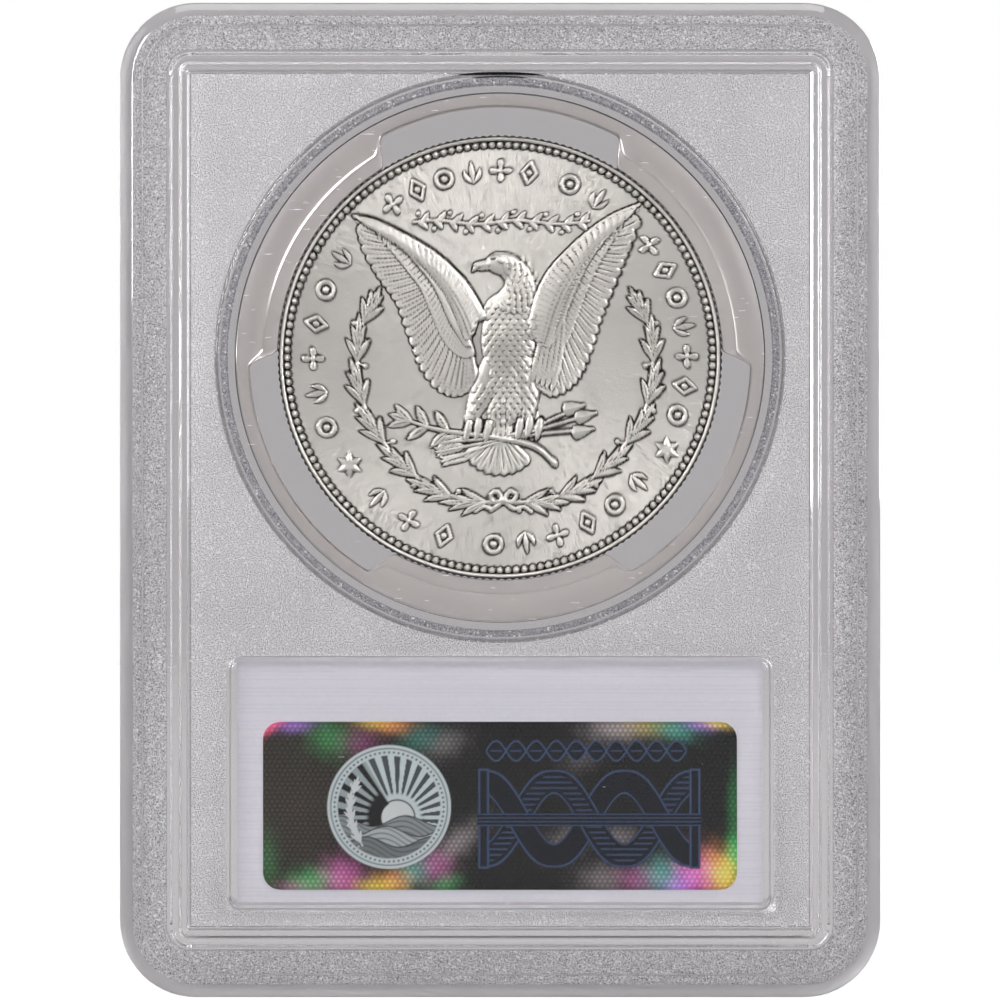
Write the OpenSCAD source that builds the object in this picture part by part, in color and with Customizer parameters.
// Graded coin slab: a silver-dollar-sized coin in a clear ring gasket, with a printed label and a
// foil security seal, sealed between two clear moulded shells by an ultrasonic weld.
// The slab stands on its short edge. +Z is up, the coin's reverse and the seal face -Y.
// Each piece is drawn lying flat, with height along Y and the reverse side up, and stood up at the end.

/* [Slab] */
// Width of the slab
slab_w = 65; // [63:0.5:67]
// Height of the slab
slab_h = 85; // [83:0.5:87]
// Thickness over the stacking ridge and the front frame
slab_t = 8; // [7.8:0.1:8.6]
// Corner radius of the outline
corner_r = 6.5; // [6.2:0.1:8]

/* [Shells] */
// Width of the rounded polished border, in from the edge
border_w = 1.9; // [1.6:0.1:2.1]
// Radius of the border's rounding
border_r = 2.4; // [2.3:0.1:3]
// Height of the stacking ridge above the back frame
ridge_rise = 0.3; // [0.2:0.05:0.4]
// Depth of the textured field below the top of the ridge
field_drop = 1.0; // [0.8:0.05:1.1]
// Wall of the field and the coin window
wall = 1.5; // [1.3:0.1:1.6]
// Thickness of the wall round the edge, in from the outline
edge_wall = 3.2; // [3:0.1:3.6]

/* [Windows] */
// Height of the coin's centre above the bottom edge
coin_z = 54.7; // [54:0.1:55]
// Radius of the polished coin window
window_r = 24.3; // [24:0.1:24.3]
// Width of the polished label window
label_window_w = 46.8; // [46.4:0.1:48]
// Height of the polished label window
label_window_h = 21.8; // [21.4:0.1:22]
// Height of the label's centre above the bottom edge
label_z = 18.3; // [18:0.1:18.6]

/* [Contents] */
// Diameter of the coin
coin_d = 38.1; // [37.5:0.1:38.1]
// Thickness of the coin over its rims
coin_t = 2.4; // [2:0.1:2.6]
// Number of reeds on the coin's edge
reeds = 189; // [120:1:200]
// Angle that each of the gasket's three pads covers
pad_angle = 60; // [40:1:70]
// Width of the label
label_w = 45; // [44:0.5:45]
// Height of the label
label_h = 20.5; // [19:0.5:20.5]
// Width of the security seal
seal_w = 40.6; // [36:0.1:42]
// Height of the security seal
seal_h = 14.4; // [12:0.1:15]
// Height of the seal's centre above the bottom edge
seal_z = 16.3; // [16:0.1:18]

/* [Hidden] */
$fn = 96;
eps = 0.01;

half_t = slab_t / 2;
back_frame = half_t - ridge_rise;      // height of the back's textured frame above the weld plane
field = half_t - field_drop;           // height of both textured fields
ceiling = field - wall;                // inner face of the field and the coin window

// Ridge that the next slab in a stack nests round, and its steps down to the field
ridge_in = 4.3;                        // the ridge's outer foot, in from the outline
ridge_corner = 1.7;                    // its corner radius there
ridge_crest = [0.25, 0.8];             // the crest's edges, in from the outer foot
ridge_ledge = [1, 1.45];               // the ledge's edges, in from the outer foot
ridge_w = 1.65;                        // the inner foot, in from the outer foot
ledge_drop = 0.55;                     // the ledge's depth below the crest
mark_r = 0.17;                         // moulding marks, sunk in the crest's top and bottom runs
mark_depth = 0.06;
mark_x = 19.4;                         // the marks' distance from the centreline

window_rise = 0.12;                    // the coin window above the field
window_bevel = 0.2;
label_rise = 0.3;                      // the label window above the field
label_bevel = 0.45;
label_corner = 1.3;

// Pocket walls, which meet those of the other shell at the weld plane
coin_wall_r = [22.7, 23.5];
label_slot = 0.5;                      // depth of the slot that holds the label
slot_gap = 0.2;                        // gap round the label in its slot

// Tongue and groove of the weld
groove = [1.4, 2.2];                   // in from the outline
groove_l = 1;
tongue_l = 0.8;
tongue_gap = 0.04;                     // on each side of the tongue

// Gasket
ring_r = 22.6;
hoop_w = 1.1;
ring_t = 2 * ceiling - 0.1;
pad_r = coin_d / 2 + 0.02;
pad_chamfer = [0.6, 0.35];
pad_round = 1.6;

// Coin
rim_w = 0.85;
rim_slope = 0.12;
relief_depth = 0.25;
reed_depth = 0.1;
reed_inset = 0.12;                     // plain bevel between the reeds and each face
reed_root = 0.03;                      // the reeds' ledge at the bevel

label_t = 0.3;
seal_t = 0.08;
seal_corner = 1.5;

module stand_up() {
    rotate([90, 0, 0]) children();
}

// Rectangle with round corners, centred
module round_rect(w, h, r) {
    square([w - 2 * r, h], center = true);
    square([w, h - 2 * r], center = true);
    for (x = [-1, 1], y = [-1, 1])
        translate([x * (w / 2 - r), y * (h / 2 - r)]) circle(r);
}

// Sweeps a profile round a rectangle with round corners of radius r. The profile's X is the distance
// out from the corner's centre, and its Y is the height.
module sweep_round(w, h, r) {
    for (side = [0 : 3]) {
        across = side % 2 == 0 ? w / 2 : h / 2;
        along = side % 2 == 0 ? h / 2 : w / 2;
        rotate(90 * side) translate([across - r, along - r, 0]) {
            rotate([90, 0, 0]) linear_extrude(2 * (along - r)) children();
            rotate_extrude(angle = 90) children();
        }
    }
}

// Rectangle whose edges slope in by bevel on the way up
module bevelled_plate(w, h, r, low, high, bevel) {
    translate([0, 0, low]) linear_extrude(high - low) round_rect(w - 2 * bevel, h - 2 * bevel, r - bevel);
    sweep_round(w, h, r)
        polygon([[r - bevel - eps, low], [r, low], [r, high - bevel], [r - bevel, high], [r - bevel - eps, high]]);
}

// Solid of one shell's frame: a plate with the rounded polished border
module frame_block(top) {
    linear_extrude(top)
        round_rect(slab_w - 2 * border_w, slab_h - 2 * border_w, corner_r - border_w);
    sweep_round(slab_w, slab_h, corner_r)
        intersection() {
            translate([corner_r - border_w - eps, 0]) square([border_w + eps, top]);
            union() {
                translate([corner_r - border_w, top - border_r]) circle(border_r);
                square([corner_r, top - border_r]);
            }
        }
}

// Raised ridge round the back's field, with a ledge on its inner side
module ridge() {
    top = half_t;
    outer = ridge_corner;
    sweep_round(slab_w - 2 * ridge_in, slab_h - 2 * ridge_in, ridge_corner)
        polygon([
            [outer, ceiling], [outer, back_frame],
            [outer - ridge_crest[0], top], [outer - ridge_crest[1], top],
            [outer - ridge_ledge[0], top - ledge_drop], [outer - ridge_ledge[1], top - ledge_drop - 0.05],
            [outer - ridge_w, field], [outer - ridge_w, ceiling]
        ]);
}

module mould_marks() {
    crest = ridge_in + (ridge_crest[0] + ridge_crest[1]) / 2;
    for (x = [-mark_x, mark_x], side = [-1, 1])
        translate([x, side * (slab_h / 2 - crest), half_t - mark_depth]) cylinder(r = mark_r, h = 1);
}

// Opening in a frame, down to the field, in from the outline
module field_recess(inset, r, low) {
    translate([0, 0, low]) linear_extrude(half_t) round_rect(slab_w - 2 * inset, slab_h - 2 * inset, r);
}

module coin_window() {
    translate([0, coin_z - slab_h / 2, 0])
        rotate_extrude()
            polygon([
                [0, ceiling], [window_r, ceiling], [window_r, field],
                [window_r - window_bevel, field + window_rise], [0, field + window_rise]
            ]);
}

module label_window() {
    translate([0, label_z - slab_h / 2, 0])
        bevelled_plate(label_window_w, label_window_h, label_corner, label_slot / 2, field + label_rise, label_bevel);
}

module coin_wall() {
    translate([0, coin_z - slab_h / 2, 0]) linear_extrude(ceiling + eps)
        difference() {
            circle(coin_wall_r[1]);
            circle(coin_wall_r[0]);
        }
}

module label_wall() {
    translate([0, label_z - slab_h / 2, 0]) linear_extrude(ceiling)
        difference() {
            square([label_window_w, label_window_h], center = true);
            square([label_w + 2 * slot_gap, label_h + 2 * slot_gap], center = true);
        }
}

module hollow() {
    translate([0, 0, -eps]) linear_extrude(ceiling + eps)
        round_rect(slab_w - 2 * edge_wall, slab_h - 2 * edge_wall, corner_r - edge_wall);
}

// Ring that runs in the weld's groove, narrower than the groove by gap on each side
module seam_ring(low, high, gap = 0) {
    sweep_round(slab_w, slab_h, corner_r)
        translate([corner_r - groove[1] + gap, low]) square([groove[1] - groove[0] - 2 * gap, high - low]);
}

// The half that faces the viewer, with the stacking ridge and the tongue
module back_shell() {
    color([0.86, 0.85, 0.9, 0.4]) {
        difference() {
            union() {
                frame_block(back_frame);
                ridge();
            }
            field_recess(ridge_in + ridge_w - eps, ridge_corner - ridge_w + eps, field);
            hollow();
            mould_marks();
        }
        coin_window();
        coin_wall();
        label_window();
        label_wall();
        seam_ring(-tongue_l, eps, tongue_gap);
    }
}

// The half that faces away, with the nesting step for the next slab's ridge and the groove
module front_shell() {
    nest = ridge_in - 0.15;
    color([0.86, 0.85, 0.9, 0.4]) mirror([0, 0, 1]) {
        difference() {
            frame_block(half_t);
            field_recess(nest, corner_r - nest, half_t - ridge_rise - 0.05);
            field_recess(ridge_in + ridge_w, 0.4, field);
            hollow();
            seam_ring(-eps, groove_l);
        }
        coin_window();
        coin_wall();
        label_window();
        label_wall();
    }
}

// Remelted plastic of the ultrasonic weld, at the bottom of the groove
module weld_bead() {
    color([0.8, 0.8, 0.86, 0.5]) seam_ring(-groove_l, -tongue_l);
}

// Outline of one gasket pad, with its inner corners rounded off
module pad_outline() {
    outer = ring_r - hoop_w / 2;
    difference() {
        intersection() {
            circle(outer);
            polygon([[0, 0], [2 * outer, 0], [2 * outer, 2 * outer * tan(pad_angle / 2)],
                     2 * outer * [cos(pad_angle), sin(pad_angle)]]);
        }
        circle(pad_r);
        for (end = [0, 1]) rotate(end * pad_angle) mirror([0, end, 0]) difference() {
            translate([0, -eps]) square([pad_r + pad_round, pad_round]);
            translate([pad_r + pad_round, pad_round]) circle(pad_round);
        }
    }
}

// Flexible clear ring: a hoop with three pads that grip the coin and leave its edge in view between them
module coin_ring() {
    color([0.85, 0.83, 0.84, 0.5]) translate([0, coin_z - slab_h / 2, -ring_t / 2]) {
        linear_extrude(ring_t) difference() {
            circle(ring_r);
            circle(ring_r - hoop_w);
        }
        for (turn = [0, 120, 240]) rotate(turn) difference() {
            linear_extrude(ring_t) pad_outline();
            for (face = [0, 1]) translate([0, 0, face * ring_t]) mirror([0, 0, face])
                rotate_extrude()
                    polygon([[0, -eps], [pad_r + pad_chamfer[0], -eps], [pad_r - eps, pad_chamfer[1]],
                             [0, pad_chamfer[1]]]);
        }
    }
}

module coin() {
    r = coin_d / 2;
    half = coin_t / 2;
    low = half - relief_depth;
    core = r - reed_depth - reed_root;
    edge = half - reed_inset;
    color([0.8, 0.79, 0.77]) translate([0, coin_z - slab_h / 2, 0]) {
        rotate_extrude()
            polygon([
                [0, -low], [r - rim_w - rim_slope, -low], [r - rim_w, -half], [core - reed_inset, -half],
                [core, -edge], [core, edge],
                [core - reed_inset, half], [r - rim_w, half], [r - rim_w - rim_slope, low], [0, low]
            ]);
        translate([0, 0, -edge]) linear_extrude(2 * edge)
            difference() {
                polygon([for (i = [0 : 2 * reeds - 1])
                    (r - (i % 2) * reed_depth) * [cos(180 * i / reeds), sin(180 * i / reeds)]]);
                circle(core - rim_w / 2);
            }
    }
}

module label() {
    color([0.9, 0.9, 0.95]) translate([0, label_z - slab_h / 2, -label_t / 2 - seal_t / 2])
        linear_extrude(label_t) square([label_w, label_h], center = true);
}

module security_seal() {
    color([0.15, 0.17, 0.18]) translate([0, seal_z - slab_h / 2, label_t / 2 - seal_t / 2])
        linear_extrude(seal_t) round_rect(seal_w, seal_h, seal_corner);
}

translate([0, 0, slab_h / 2]) stand_up() {
    back_shell();
    front_shell();
    weld_bead();
    coin_ring();
    coin();
    label();
    security_seal();
}
